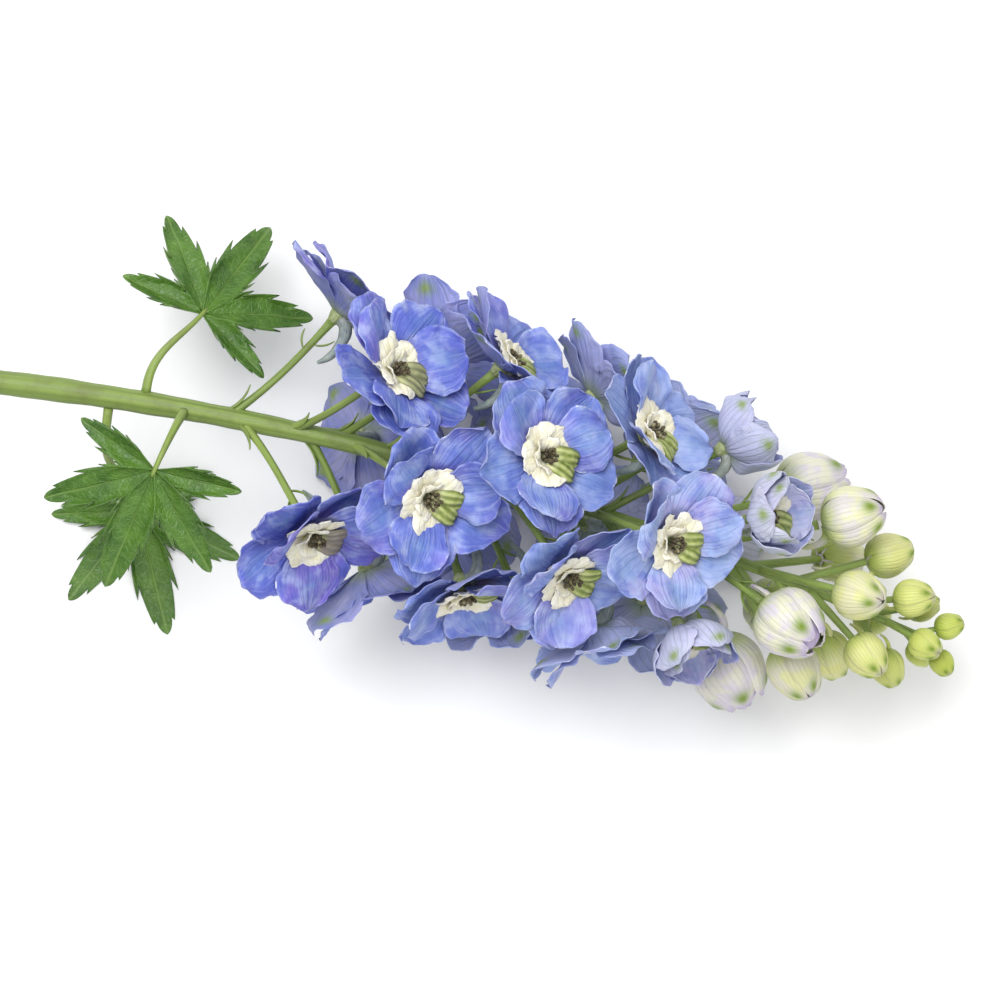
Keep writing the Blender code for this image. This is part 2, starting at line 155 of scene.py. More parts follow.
def tube(path, radii, sides, ribs=0.0, rib_count=5, material=0, **values):
    """A closed round tube: each ring is the path's point plus the radius times (cos a, sin a) across it.

    Ribs swell the radius by that share of itself times cos(rib_count a). A pole closes each end. The UV map
    holds (share of the length, share of the way round).
    """
    path = np.asarray(path, float)
    radii = np.asarray(radii, float)
    tangent = unit(np.gradient(path, axis=0))
    axis = np.argmin(np.abs(path[-1] - path[0]))
    side = unit(np.cross(np.eye(3)[axis], tangent))
    up = np.cross(tangent, side)
    a = np.linspace(0, 2 * np.pi, sides, endpoint=False)
    size = radii[:, None] * (1 + ribs * np.cos(rib_count * a))
    rings = path[:, None] + side[:, None] * (size * np.cos(a))[..., None] + up[:, None] * (size * np.sin(a))[..., None]
    return ringed(rings, path[0], path[-1], material, values)


def ringed(rings, first_pole, last_pole, material, values):
    """A closed skin over rings of points, with a pole at each end."""
    count, sides = rings.shape[:2]
    number = np.arange(count * sides).reshape(count, sides)
    after = np.roll(number, -1, axis=1)
    quads = np.stack([number[:-1], after[:-1], after[1:], number[1:]], axis=-1).reshape(-1, 4)
    first, last = count * sides, count * sides + 1
    triangles = np.concatenate([
        np.stack([np.full(sides, first), after[0], number[0]], axis=-1),
        np.stack([np.full(sides, last), number[-1], after[-1]], axis=-1),
    ])
    points = np.concatenate([rings.reshape(-1, 3), [first_pole, last_pole]])
    along, round_ = np.meshgrid(np.linspace(0, 1, count), np.arange(sides) / sides, indexing="ij")
    uv = np.concatenate([np.stack([along, round_], axis=-1).reshape(-1, 2), [[0, 0.5], [1, 0.5]]])
    return dict(points=points, quads=quads, triangles=triangles, uv=uv, material=material, values=values)


def blade(surface, rows, columns, thickness, material=0, press=0.0, **values):
    """A thin closed blade round the surface's middle, whose front and back share their rim.

    The surface is a function of u, 0 to 1 from root to tip, and v, -1 to 1 from edge to edge. The last step to
    the rim is short, which leaves the rim finely rounded. What would lie under LOWEST rises to it, by the depth
    d = s log(1 + exp((LOWEST - z) / s)), and slides out from the root by press times d. The UV map holds
    (u, (v + 1) / 2).
    """
    u = np.append(np.linspace(0, 0.985, rows), 1)
    v = np.concatenate([[-1], np.linspace(-0.975, 0.975, columns - 1), [1]])
    u, v = np.meshgrid(u, v, indexing="ij")
    middle = surface(u, v)
    below = BEND_SOFTNESS * np.logaddexp(0, (LOWEST - middle[..., 2:]) / BEND_SOFTNESS)
    away = unit((middle[-1].mean(axis=0) - middle[0].mean(axis=0)) * (1, 1, 0))
    middle = middle + below * (press * away + np.array([0, 0, 1.0]))
    normal = unit(np.cross(np.gradient(middle, axis=0), np.gradient(middle, axis=1)))
    inside = np.zeros(u.shape, bool)
    inside[1:-1, 1:-1] = True
    front = middle + normal * (inside * thickness / 2)[..., None]
    back = (middle - normal * thickness / 2)[inside]
    number = np.arange(u.size).reshape(u.shape)
    behind = number.copy()
    behind[inside] = u.size + np.arange(len(back))
    quads = np.concatenate([
        np.stack([number[:-1, :-1], number[1:, :-1], number[1:, 1:], number[:-1, 1:]], axis=-1).reshape(-1, 4),
        np.stack([behind[:-1, :-1], behind[:-1, 1:], behind[1:, 1:], behind[1:, :-1]], axis=-1).reshape(-1, 4),
    ])
    flat = np.stack([u, (v + 1) / 2], axis=-1)
    values = {name: np.full(u.size + len(back), value, float) for name, value in values.items()}
    values["back"] = np.concatenate([np.where(inside, 0, 0.3).ravel(), np.ones(len(back))])
    return dict(
        points=np.concatenate([front.reshape(-1, 3), back]),
        quads=quads,
        triangles=np.zeros((0, 3), int),
        uv=np.concatenate([flat.reshape(-1, 2), flat[inside]]),
        material=material,
        values=values,
    )


def piece(name, patches, materials, nodes):
    """One smooth object of all the patches, which stands for the frame's nodes."""
    starts = np.cumsum([0] + [len(patch["points"]) for patch in patches])
    points = np.concatenate([patch["points"] for patch in patches])
    quads = np.concatenate([patch["quads"] + start for patch, start in zip(patches, starts)])
    triangles = np.concatenate([patch["triangles"] + start for patch, start in zip(patches, starts)])
    material = np.concatenate(
        [np.full(len(patch["quads"]), patch["material"]) for patch in patches]
        + [np.full(len(patch["triangles"]), patch["material"]) for patch in patches]
    )
    corners = np.concatenate([quads.ravel(), triangles.ravel()]).astype(np.int32)
    totals = np.concatenate([np.full(len(quads), 4), np.full(len(triangles), 3)])
    mesh = bpy.data.meshes.new(name)
    mesh.vertices.add(len(points))
    mesh.vertices.foreach_set("co", points.astype(np.float32).ravel())
    mesh.loops.add(len(corners))
    mesh.loops.foreach_set("vertex_index", corners)
    mesh.polygons.add(len(totals))
    mesh.polygons.foreach_set("loop_start", (np.cumsum(totals) - totals).astype(np.int32))
    for finish in materials:
        mesh.materials.append(finish)
    mesh.polygons.foreach_set("material_index", material.astype(np.int32))
    mesh.update(calc_edges=True)
    uv = np.concatenate([patch["uv"] for patch in patches])
    mesh.uv_layers.new(name="petal").uv.foreach_set("vector", uv[corners].astype(np.float32).ravel())
    for key in sorted({key for patch in patches for key in patch["values"]}):
        column = np.concatenate([
            np.broadcast_to(patch["values"].get(key, 0), len(patch["points"])) for patch in patches
        ])
        mesh.attributes.new(key, "FLOAT", "POINT").data.foreach_set("value", column.astype(np.float32))
    mesh.shade_smooth()
    made = bpy.data.objects.new(name, mesh)
    bpy.context.scene.collection.objects.link(made)
    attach(made, "root")
    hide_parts(*nodes)
    return made


def arched(u, v, form):
    """Middle surface of a petal, leaf or bract: u from root to tip and v from edge to edge.

    Its midrib is an arc that leaves the flower's middle at the angle rise above the face's plane and ends at
    the angle spread. Its half width is w sin(pi (0.972 u)^swell)^blunt. The rim goes round the petal's own
    middle with the angle a, times crimp: there length and width grow by scallop times (sin 3a + |sin 5a| +
    0.6 |sin 9a| - 1), in round lobes with sharp notches, and the rim ruffles with sin 6a + 0.5 sin 13a, less
    toward the tip. Its edges lift with the square of v by cupping, it is turned about its midrib by twist, a billow and a wave roll
    across it, ridges and a crease follow its length, and a hollow sinks in near the root.
    """
    rise, spread = form["rise"], form["spread"]
    phase = form.get("phase", 0)
    half = form["half_width"] * np.sin(np.pi * (0.972 * u) ** form["swell"]) ** form["blunt"]
    turn = np.arctan2(v * half, form["length"] * (u - 0.5)) * form.get("crimp", 1)
    edge = smooth(np.maximum(np.abs(v), u**3), 0.3, 1) * smooth(u, 0.1, 0.5)
    lobes = np.abs(np.sin(5 * turn + 2 * phase)) + 0.6 * np.abs(np.sin(9 * turn - 3 * phase)) - 1
    scallop = form.get("scallop", 0) * edge * (np.sin(3 * turn + phase) + lobes)
    end = u + form.get("point", 0.05) * u**4 * (1 - v**2)
    end = 0.5 + (end - 0.5) * (1 + scallop)
    slope = rise + (spread - rise) * end
    bend = form["length"] / (spread - rise)
    out = form["root"] + bend * (np.sin(slope) - math.sin(rise))
    height = bend * (math.cos(rise) - np.cos(slope))
    half = half * (1 + scallop) + form.get("claw", 0) * (1 - u) ** 3
    wave = form.get("wave", 0) * u**2 * v**2 * np.sin(5.5 * u + 1.6 * v + phase)
    ruffle = form.get("ruffle", 0) * edge**2 * (1 - 0.6 * smooth(u, 0.75, 1)) * (
        np.sin(6 * turn + 2 * phase) + 0.5 * np.sin(13 * turn - 4 * phase)
    )
    billow = form.get("billow", 0) * smooth(u, 0.1, 0.6) * np.sin(3.4 * u + 2.4 * v + 2.5 * phase)
    wave = wave + billow + form.get("ridge", 0) * np.cos(9.4 * v) * smooth(u, 0, 0.2)
    crease = form.get("crease", 0) * np.exp(-((v / 0.2) ** 2)) * u * (1 - u) * 4
    hollow = form.get("hollow", 0) * np.exp(-(((u - 0.3) / 0.17) ** 2) - (v / 0.6) ** 2)
    lift = form["cupping"] * half * v**2 + half * v * math.sin(form["twist"]) + wave + ruffle - crease - hollow
    across = half * v * math.cos(form["twist"])
    out = out - lift * np.sin(slope)
    height = height + lift * np.cos(slope) + form["base"]
    c, s = math.cos(form["angle"]), math.sin(form["angle"])
    return np.stack([out * c - across * s, out * s + across * c, height], axis=-1)


def flower_blade(form, flower, rows, columns, thickness, material=0, **values):
    """A blade of the form, placed on a flower and kept above the surface that the spike lies on."""
    return blade(
        lambda u, v: placed(arched(u, v, form), flower), rows, columns, thickness, material, 0.4, **values
    )


def flower_tube(route, radii, flower, sides, **settings):
    return tube(placed(np.asarray(route), flower), radii, sides, **settings)


def pedicel_foot(index, flower):
    """Where a flower's stalk leaves the stem: as far behind the flower as its lean asks for."""
    s, _, reach = flower_place(index)
    along = stem_frame(s)[0]
    return s - 1.08 * reach * math.tan(math.asin(max(flower[0][:, 2].dot(along), math.sin(LEAN))))


def bract(root, direction, upward, length, half_width, curl, material, tone):
    """A narrow green blade that leaves root along direction and curls away from upward."""
    direction = unit(direction)
    upward = unit(upward - direction * upward.dot(direction))
    turn = np.column_stack([direction, np.cross(upward, direction), upward])
    form = dict(
        root=0, base=0, length=length, half_width=half_width, rise=curl, spread=-curl, swell=0.8, blunt=0.9,
        cupping=0.3, twist=0.1, angle=0, claw=half_width * 0.6, point=0, crease=0.2 * half_width,
    )
    return flower_blade(form, (turn, root), 8, 6, 0.35 * MM, material, tone=tone)


def stalk(index, flower):
    """A flower's stalk with its bract and bracteoles."""
    draw = np.random.default_rng(SEED + 700 + index)
    angle = flower_place(index)[1]
    foot = pedicel_foot(index, flower)
    along, side, up = stem_frame(foot)
    outward = side * math.cos(angle) + up * math.sin(angle)
    face = flower[0][:, 2]
    start = stem_point(foot)
    end = placed(np.array([0, 0, -HUB_DEPTH - GAP]), flower)
    pull = 0.36 * np.linalg.norm(end - start)
    route = bezier(start, start + (outward + along) * pull * 0.7, end - face * pull, end + face * 0.6 * MM, 16)
    t = np.linspace(0, 1, 16)
    thick = PEDICEL_RADIUS * (0.92 + 0.4 * np.exp(-t / 0.12) + 0.35 * np.exp((t - 1) / 0.07))
    parts = [tube(route, thick, 10, ribs=0.05, tone=draw.uniform(-1, 1))]
    length = draw.uniform(11, 15) * MM
    parts.append(bract(
        start + outward * stem_radius(foot) * 0.7 - along * MM, outward * 0.9 + along * 0.6, along - outward,
        length, 1.3 * MM, 0.5, 0, draw.uniform(-1, 1),
    ))
    across = unit(np.cross(route[12] - route[11], up))
    for turn in (-1, 1):
        at = route[11 + (turn > 0)] + across * turn * PEDICEL_RADIUS * 0.7
        parts.append(bract(
            at, unit(route[12] - route[11]) + across * turn * draw.uniform(0.5, 0.9), face,
            draw.uniform(6.5, 9) * MM, 0.75 * MM, draw.uniform(-0.5, 0.3), 0, draw.uniform(-1, 1),
        ))
    return parts


def srgb(red, green, blue):
    """A colour of 0 to 255 as linear light with full alpha."""
    share = np.array([red, green, blue]) / 255
    linear = np.where(share <= 0.04045, share / 12.92, ((share + 0.055) / 1.055) ** 2.4)
    return (*linear.tolist(), 1.0)


def add(tree, kind, inputs=(), **settings):
    """A shader node with its settings, and its inputs set to values or linked to sockets."""
    made = tree.nodes.new(kind)
    for key, value in settings.items():
        setattr(made, key, value)
    for key, value in dict(inputs).items():
        if isinstance(value, bpy.types.NodeSocket):
            tree.links.new(value, made.inputs[key])
        else:
            made.inputs[key].default_value = value
    return made


def calc(tree, operation, *terms):
    return add(tree, "ShaderNodeMath", dict(enumerate(terms)), operation=operation).outputs[0]


def blend(tree, factor, low, high, blend_type="MIX"):
    made = add(tree, "ShaderNodeMix", {0: factor, 6: low, 7: high}, data_type="RGBA", blend_type=blend_type)
    return made.outputs[2]


def ramped(tree, value, low, high, bottom=0.0, top=1.0):
    """An S-shaped step of value, from bottom at low to top at high."""
    steps = {"Value": value, "From Min": low, "From Max": high, "To Min": bottom, "To Max": top}
    return add(tree, "ShaderNodeMapRange", steps, interpolation_type="SMOOTHSTEP").outputs[0]


def colour_ramp(tree, factor, stops):
    """A colour ramp with its (position, colour) stops."""
    made = add(tree, "ShaderNodeValToRGB", {0: factor})
    elements = made.color_ramp.elements
    while len(elements) < len(stops):
        elements.new(0.5)
    for element, (position, colour) in zip(elements, stops):
        element.position = position
        element.color = colour
    return made.outputs[0]


def noise(tree, scale, detail=2.0, vector=None):
    """Smooth noise between 0 and 1 over Object coordinates, in features per metre."""
    if vector is None:
        vector = add(tree, "ShaderNodeTexCoord").outputs["Object"]
    return add(tree, "ShaderNodeTexNoise", {"Vector": vector, "Scale": scale, "Detail": detail}).outputs[0]


def attribute(tree, name):
    return add(tree, "ShaderNodeAttribute", attribute_name=name).outputs["Fac"]


def petal_place(tree):
    """(u, v) of the petal map as two sockets, with v from -1 to 1."""
    flat = add(tree, "ShaderNodeSeparateXYZ", {0: add(tree, "ShaderNodeUVMap", uv_map="petal").outputs[0]})
    return flat.outputs[0], calc(tree, "MULTIPLY_ADD", flat.outputs[1], 2.0, -1.0)


def finish_shader(name, roughness, **settings):
    """A new material, its node tree and its Principled shader with constant settings."""
    made = bpy.data.materials.new(name)
    made.use_nodes = True
    shader = made.node_tree.nodes["Principled BSDF"]
    shader.inputs["Roughness"].default_value = roughness
    for key, value in settings.items():
        shader.inputs[key.replace("_", " ")].default_value = value
    return made, made.node_tree, shader


def bump(tree, shader, height, distance, strength=1.0):
    made = add(tree, "ShaderNodeBump", {"Height": height, "Distance": distance, "Strength": strength})
    tree.links.new(made.outputs[0], shader.inputs["Normal"])


def stalk_green():
    """Green stalk: olive streaks along it, a paler rib here and there, and a tone of its own for each part."""
    made, tree, shader = finish_shader("stalk_green", 0.5, Subsurface_Weight=0.1, Subsurface_Scale=1.5 * MM)
    shader.inputs["Subsurface Radius"].default_value = (0.6, 1.0, 0.3)
    u, v = petal_place(tree)
    streaks = noise(tree, 1.0, 3.0, add(tree, "ShaderNodeCombineXYZ", {
        0: calc(tree, "MULTIPLY", u, 3.0), 1: calc(tree, "MULTIPLY", v, 9.0), 2: attribute(tree, "tone"),
    }).outputs[0])
    patches = noise(tree, 120.0, 3.0)
    colour = colour_ramp(tree, streaks, [(0.3, srgb(88, 112, 48)), (0.7, srgb(138, 158, 78))])
    colour = blend(tree, ramped(tree, patches, 0.45, 0.75, 0.0, 0.5), colour, srgb(92, 96, 52))
    colour = blend(tree, ramped(tree, attribute(tree, "tone"), -1.0, 1.0, 0.0, 0.35), colour, srgb(150, 172, 84))
    tree.links.new(colour, shader.inputs["Base Color"])
    bump(tree, shader, calc(tree, "ADD", streaks, noise(tree, 1400.0)), 0.15 * MM)
    return made


def cut_face():
    """The cut end of the stem: pale pith with a green rind."""
    made, tree, shader = finish_shader("cut_pith", 0.6)
    u, _ = petal_place(tree)
    tree.links.new(
        colour_ramp(tree, u, [(0.0, srgb(206, 214, 160)), (0.7, srgb(190, 200, 130)), (0.9, srgb(110, 130, 60))]),
        shader.inputs["Base Color"],
    )
    bump(tree, shader, noise(tree, 1800.0, 3.0), 0.3 * MM)
    return made


def rachis():
    """The main stem's tube, with five soft ribs, and the shallow dish of its cut end."""
    s = np.linspace(0, STEM_LENGTH, 90)
    lumps = 1 + 0.03 * np.sin(s / (5.5 * MM)) + 0.02 * np.sin(s / (2.3 * MM))
    body = tube(stem_point(s), stem_radius(s) * lumps, 20, ribs=0.035, tone=-0.3)
    inner = np.array([0.98, 0.9, 0.75, 0.5, 0.25])
    depth = np.array([-0.15, -0.1, 0.25, 0.35, 0.4]) * MM
    along = stem_frame(0)[0]
    dish = tube(stem_point(0) + along * depth[:, None] - along * 0.1 * MM, stem_radius(0) * inner, 20, material=1)
    dish["uv"][:, 0] = np.concatenate([np.repeat(inner, 20), [1, 0]])
    return [body, dish]


def stage_lean(index):
    """(lean, spin) of a flower that isn't an open floret."""
    ends = np.cumsum([OPEN_FLORETS, HALF_OPEN_FLORETS, OPENING_BUDS])
    return (HALF_OPEN_LEAN, OPENING_LEAN, CLOSED_LEAN)[int((index >= ends[1]) + (index >= ends[2]))], 0


# An open floret has five broad outer sepals and three inner ones, thin, satiny and wavy at the rim, round a
# small green receptacle. They are deep blue-violet on the oldest florets and paler toward the tip, with grey
# green veined backs that keep the bud's green spot. A hollow hooked spur runs back from the tipward side. The
# florets underneath are pressed onto the surface.
PRESSED_CLOSER = 12 * DEGREE
SETTLE_REACH = 6 * MM
PRESSED_BY = 1.6 * MM
SEPAL_ROOT = 2.2 * MM
OUTER_SEPALS = 5
INNER_SEPALS = 3
INNER_ROOT = 1.4 * MM
SPUR_LENGTH = 17 * MM
HUB_RADIUS = 3.2 * MM
HUB_TOP = 1.9 * MM
OPEN = dict(length=26.5 * MM, half_width=10.8 * MM, rise=22, spread=15, cupping=0.1, wave=1.1 * MM, jitter=4)
HALF_OPEN = dict(length=23 * MM, half_width=8.4 * MM, rise=8, spread=98, cupping=0.36, wave=0.6 * MM, jitter=1)


def sepals_of(stage, index, closer):
    """The forms of one flower's sepals, outer layer first, each with its own small differences."""
    draw = np.random.default_rng(SEED + index)
    size = float(np.interp(index, (0, 21, 25), (1.04, 0.94, 0.9)))
    found = []
    for k in range(OUTER_SEPALS + INNER_SEPALS):
        inner = k >= OUTER_SEPALS
        count, number = (INNER_SEPALS, k - OUTER_SEPALS) if inner else (OUTER_SEPALS, k)
        turn, grow, lift, phase = draw.uniform(-1, 1, 4)
        found.append(dict(
            angle=2 * math.pi * number / count + (38 * inner + stage["jitter"] * turn) * DEGREE,
            length=stage["length"] * size * (1 + 0.05 * grow) * (0.9 if inner else 1),
            half_width=stage["half_width"] * size * (0.96 if inner else 1),
            rise=(stage["rise"] + 11 * inner + 2 * lift) * DEGREE + closer,
            spread=(stage["spread"] + 10 * inner + 3 * lift) * DEGREE + closer,
            cupping=stage["cupping"],
            twist=5 * DEGREE,
            wave=stage["wave"],
            phase=math.pi * phase,
            root=SEPAL_ROOT,
            base=INNER_ROOT * inner,
            swell=1.45,
            blunt=0.75,
        ))
    return found


def settled(flower, sepals):
    """The floret, moved up or down so that one close to the surface is lightly pressed onto it."""
    turn, centre, freedom = flower
    u, v = np.meshgrid((0, 1 / 3, 2 / 3, 1), (-1, 0, 1))
    lowest = min((arched(u, v, sepal) @ turn.T)[..., 2].min() for sepal in sepals) + centre[2]
    if lowest > SETTLE_REACH:
        return flower
    return turn, centre + np.array([0, 0, -PRESSED_BY - lowest]), freedom


def open_flower(index):
    """(flower, forms of its sepals, how far its parts close because the surface presses them)."""
    lean, spin = np.random.default_rng(SEED + 100 + index).uniform(-1, 1, 2)
    flower = flower_frame(index, LEAN + 4 * DEGREE * lean, 16 * DEGREE * spin)
    closer = PRESSED_CLOSER * (1 - flower[2])
    sepals = sepals_of(OPEN, index, closer)
    return settled(flower, sepals), sepals, closer


def receptacle(flower, scale, tone):
    """The small green cone behind the face, and the hooked spur with a few soft wrinkles."""
    z = np.array([-HUB_DEPTH, -0.6 * HUB_DEPTH, -0.2 * HUB_DEPTH, HUB_TOP * 0.5, HUB_TOP])
    cone = flower_tube(
        z[:, None] * np.array([0, 0, 1.0]) + np.array([1e-6, 0, 0]),
        np.array([0.55, 0.72, 0.9, 0.95, 0.5]) * HUB_RADIUS, flower, 12, age=tone, green=1, tone=0,
    )
    length = SPUR_LENGTH * scale
    route = bezier(
        np.array([2.2 * MM, 0, -0.2 * MM]),
        np.array([0.5 * length, 0, -0.1 * length]),
        np.array([0.55 * length, 0, -0.7 * length]),
        np.array([0.34 * length, 0, -length]),
        16,
    )
    t = np.linspace(0, 1, 16)
    radii = (2.5 - 1.5 * t - 0.5 * t**6) * MM * scale * (1 + 0.05 * np.sin(26 * t))
    spur = flower_tube(route, radii, flower, 10, ribs=0.06, rib_count=4, age=tone, green=0.65, tone=0)
    return [cone, spur]


def sepal_blades(index, flower, sepals, age, spread_wider, ruffle, loose):
    """The fine sepals: a little wider than the plain ones, with lobed and ruffled rims and a midrib crease.

    Loose sepals twist, curl and billow each in their own way, by up to 7 degrees and 2 mm.
    """
    draw = np.random.default_rng(SEED + 500 + index)
    found = []
    for k, sepal in enumerate(sepals):
        rim, tip, crease, tone, pinch, roll, curl, turn = draw.uniform(-1, 1, 8)
        form = dict(
            sepal,
            half_width=sepal["half_width"] * spread_wider,
            blunt=0.6,
            scallop=0.045 + 0.012 * tip,
            ruffle=ruffle * (1 + 0.4 * rim),
            billow=(1.5 + 0.6 * roll) * loose * MM,
            spread=sepal["spread"] + 7 * DEGREE * curl * loose,
            twist=sepal["twist"] + 7 * DEGREE * turn * loose,
            crease=(0.5 + 0.4 * crease) * MM,
            claw=1.1 * MM,
            point=0.04 - 0.03 * pinch,
            hollow=3 * MM if k == 0 else 0,
        )
        throat = max(0, math.cos(sepal["angle"])) ** 4
        found.append(flower_blade(
            form, flower, 26, 20, 0.3 * MM, age=age, tone=tone, throat=throat, green=0
        ))
    return found


def petal_marks():
    """Masks of a petal from its map: veins that fan out from the root, the rim, the tip's spot and a smudge."""
    tree = bpy.data.node_groups.new("petal_marks", "ShaderNodeTree")
    for name in ("U", "V", "Lines"):
        tree.interface.new_socket(name, in_out="INPUT", socket_type="NodeSocketFloat")
    for name in ("Vein", "Rim", "Spot", "Pad", "Smudge", "Root"):
        tree.interface.new_socket(name, in_out="OUTPUT", socket_type="NodeSocketFloat")
    given = tree.nodes.new("NodeGroupInput")
    put = tree.nodes.new("NodeGroupOutput")
    u, v, lines = given.outputs["U"], given.outputs["V"], given.outputs["Lines"]
    across = calc(tree, "ABSOLUTE", v)
    wobble = calc(tree, "MULTIPLY", noise(tree, 160.0, 2.0), 2.4)
    main = calc(tree, "COSINE", calc(tree, "MULTIPLY_ADD", calc(tree, "MULTIPLY", v, lines), math.pi, wobble))
    main = calc(tree, "POWER", calc(tree, "MULTIPLY_ADD", main, 0.5, 0.5), 5.0)
    slant = calc(tree, "SUBTRACT", calc(tree, "MULTIPLY", u, 34.0), calc(tree, "MULTIPLY", across, 13.0))
    branch = calc(tree, "COSINE", calc(tree, "ADD", slant, wobble))
    branch = calc(tree, "POWER", calc(tree, "MULTIPLY_ADD", branch, 0.5, 0.5), 8.0)
    branch = calc(tree, "MULTIPLY", branch, ramped(tree, u, 0.35, 0.8, 0.0, 0.6))
    veins = calc(tree, "MAXIMUM", main, branch)
    veins = calc(tree, "MULTIPLY", veins, ramped(tree, across, 0.75, 1.0, 1.0, 0.15))
    rim = calc(tree, "MAXIMUM", ramped(tree, across, 0.9, 0.99), ramped(tree, u, 0.95, 0.995))

    def spot(at, long, wide):
        """exp of minus ((u - at) / long) squared minus (v / wide) squared."""
        a = calc(tree, "POWER", calc(tree, "ABSOLUTE", calc(tree, "MULTIPLY_ADD", u, 1 / long, -at / long)), 2.0)
        b = calc(tree, "POWER", calc(tree, "MULTIPLY", across, 1 / wide), 2.0)
        return calc(tree, "EXPONENT", calc(tree, "MULTIPLY", calc(tree, "ADD", a, b), -1.0))

    for name, socket in dict(
        Vein=veins, Rim=rim, Spot=spot(0.86, 0.075, 0.3), Pad=spot(0.78, 0.09, 0.4), Smudge=spot(0.66, 0.16, 0.42),
        Root=ramped(tree, u, 0.02, 0.32, 1.0, 0.0),
    ).items():
        tree.links.new(socket, put.inputs[name])
    return tree


PETAL_MARKS = petal_marks()


def place_marks(tree, lines):
    """The petal marks, placed in a material."""
    u, v = petal_place(tree)
    made = tree.nodes.new("ShaderNodeGroup")
    made.node_tree = PETAL_MARKS
    tree.links.new(u, made.inputs["U"])
    tree.links.new(v, made.inputs["V"])
    made.inputs["Lines"].default_value = lines
    return made.outputs


def sepal_blue():
    """Sepal: blue that fades with the flower's place, violet and teal clouds, pale and dark mottling that is partly
    painted sheen and painted shade, pale rims that are partly painted highlight with painted highlight glints, and
    veined backs.
    """
    made, tree, shader = finish_shader(
        "sepal_blue", 0.5, Subsurface_Weight=0.2, Subsurface_Scale=1.2 * MM, Specular_IOR_Level=0.35
    )
    shader.inputs["Subsurface Radius"].default_value = (0.5, 0.6, 1.0)
    marks = place_marks(tree, 9.0)
    u, v = petal_place(tree)
    age = attribute(tree, "age")
    tone = attribute(tree, "tone")
    clouds = noise(tree, 70.0, 3.0)
    mottle_sheen_and_shade = noise(tree, 170.0, 4.0)
    fine = noise(tree, 420.0, 3.0)
    pleats = noise(tree, 1.0, 3.0, add(tree, "ShaderNodeCombineXYZ", {
        0: calc(tree, "MULTIPLY", u, 2.5), 1: calc(tree, "MULTIPLY", v, 11.0), 2: calc(tree, "MULTIPLY", tone, 9.0),
    }).outputs[0])
    front = colour_ramp(tree, age, [
        (0.0, srgb(88, 98, 190)), (0.25, srgb(106, 122, 200)), (0.5, srgb(126, 147, 208)),
        (0.76, srgb(150, 168, 214)), (0.86, srgb(178, 180, 216)), (1.0, srgb(202, 202, 220)),
    ])
    violet = colour_ramp(tree, age, [
        (0.0, srgb(122, 94, 184)), (0.4, srgb(122, 118, 200)), (0.85, srgb(182, 168, 212)),
    ])
    shade = calc(tree, "MULTIPLY_ADD", tone, 0.12, clouds)
    front = blend(tree, ramped(tree, shade, 0.45, 0.7, 0.0, 0.7), front, violet)
    # Pale patches: partly the sepal's own mottling, partly painted satin sheen. Dark patches: partly its own mottling,
    # partly painted shade.
    front = blend(tree, ramped(tree, mottle_sheen_and_shade, 0.46, 0.7, 0.0, 0.6), front, srgb(176, 188, 226))
    front = blend(tree, ramped(tree, mottle_sheen_and_shade, 0.5, 0.32, 0.0, 0.5), front, srgb(76, 90, 182))
    front = blend(tree, ramped(tree, pleats, 0.5, 0.7, 0.0, 0.35), front, srgb(178, 184, 226))
    teal = calc(tree, "MULTIPLY", marks["Smudge"], ramped(tree, fine, 0.35, 0.6, 0.25, 0.6))
    front = blend(tree, teal, front, srgb(112, 146, 196))
    front = blend(tree, calc(tree, "MULTIPLY", marks["Vein"], 0.12), front, srgb(78, 84, 168))
    front = blend(tree, calc(tree, "MULTIPLY", marks["Spot"], 0.3), front, srgb(92, 128, 158))
    # Pale rim: partly the sepal's own paler margin, partly painted edge highlight. The glints after it are painted
    # highlights.
    rim = calc(tree, "MULTIPLY", marks["Rim"], ramped(tree, fine, 0.4, 0.65, 0.0, 0.45))
    front = blend(tree, rim, front, srgb(190, 200, 232))
    glint = calc(tree, "MULTIPLY", ramped(tree, marks["Rim"], 0.6, 0.95), ramped(tree, noise(tree, 300.0), 0.6, 0.7))
    front = blend(tree, glint, front, srgb(222, 226, 242))
    front = blend(tree, calc(tree, "MULTIPLY", marks["Root"], 0.4), front, srgb(160, 150, 206))
    throat = calc(tree, "MULTIPLY", attribute(tree, "throat"), ramped(tree, u, 0.2, 0.5, 0.8, 0.0))
    front = blend(tree, throat, front, srgb(134, 118, 136))
    back = colour_ramp(tree, age, [
        (0.0, srgb(112, 118, 186)), (0.45, srgb(140, 148, 198)), (0.75, srgb(164, 172, 210)),
        (0.87, srgb(186, 188, 214)), (1.0, srgb(204, 206, 190)),
    ])
    back = blend(tree, ramped(tree, clouds, 0.4, 0.7, 0.0, 0.5), back, srgb(184, 180, 216))
    back = blend(tree, calc(tree, "MULTIPLY", marks["Vein"], 0.3), back, srgb(116, 136, 134))
    back = blend(tree, calc(tree, "MULTIPLY", marks["Root"], 0.75), back, srgb(140, 156, 110))
    back = blend(tree, calc(tree, "MULTIPLY", marks["Spot"], 0.9), back, srgb(124, 146, 52))
    colour = blend(tree, attribute(tree, "back"), front, back)
    green = colour_ramp(tree, fine, [(0.3, srgb(128, 140, 88)), (0.7, srgb(176, 186, 140))])
    colour = blend(tree, attribute(tree, "green"), colour, green)
    tree.links.new(colour, shader.inputs["Base Color"])
    height = calc(tree, "SUBTRACT", calc(tree, "MULTIPLY", fine, 0.5), calc(tree, "MULTIPLY", marks["Vein"], 0.5))
    bump(tree, shader, calc(tree, "MULTIPLY_ADD", pleats, 2.6, height), 0.24 * MM, 0.8)
    return made


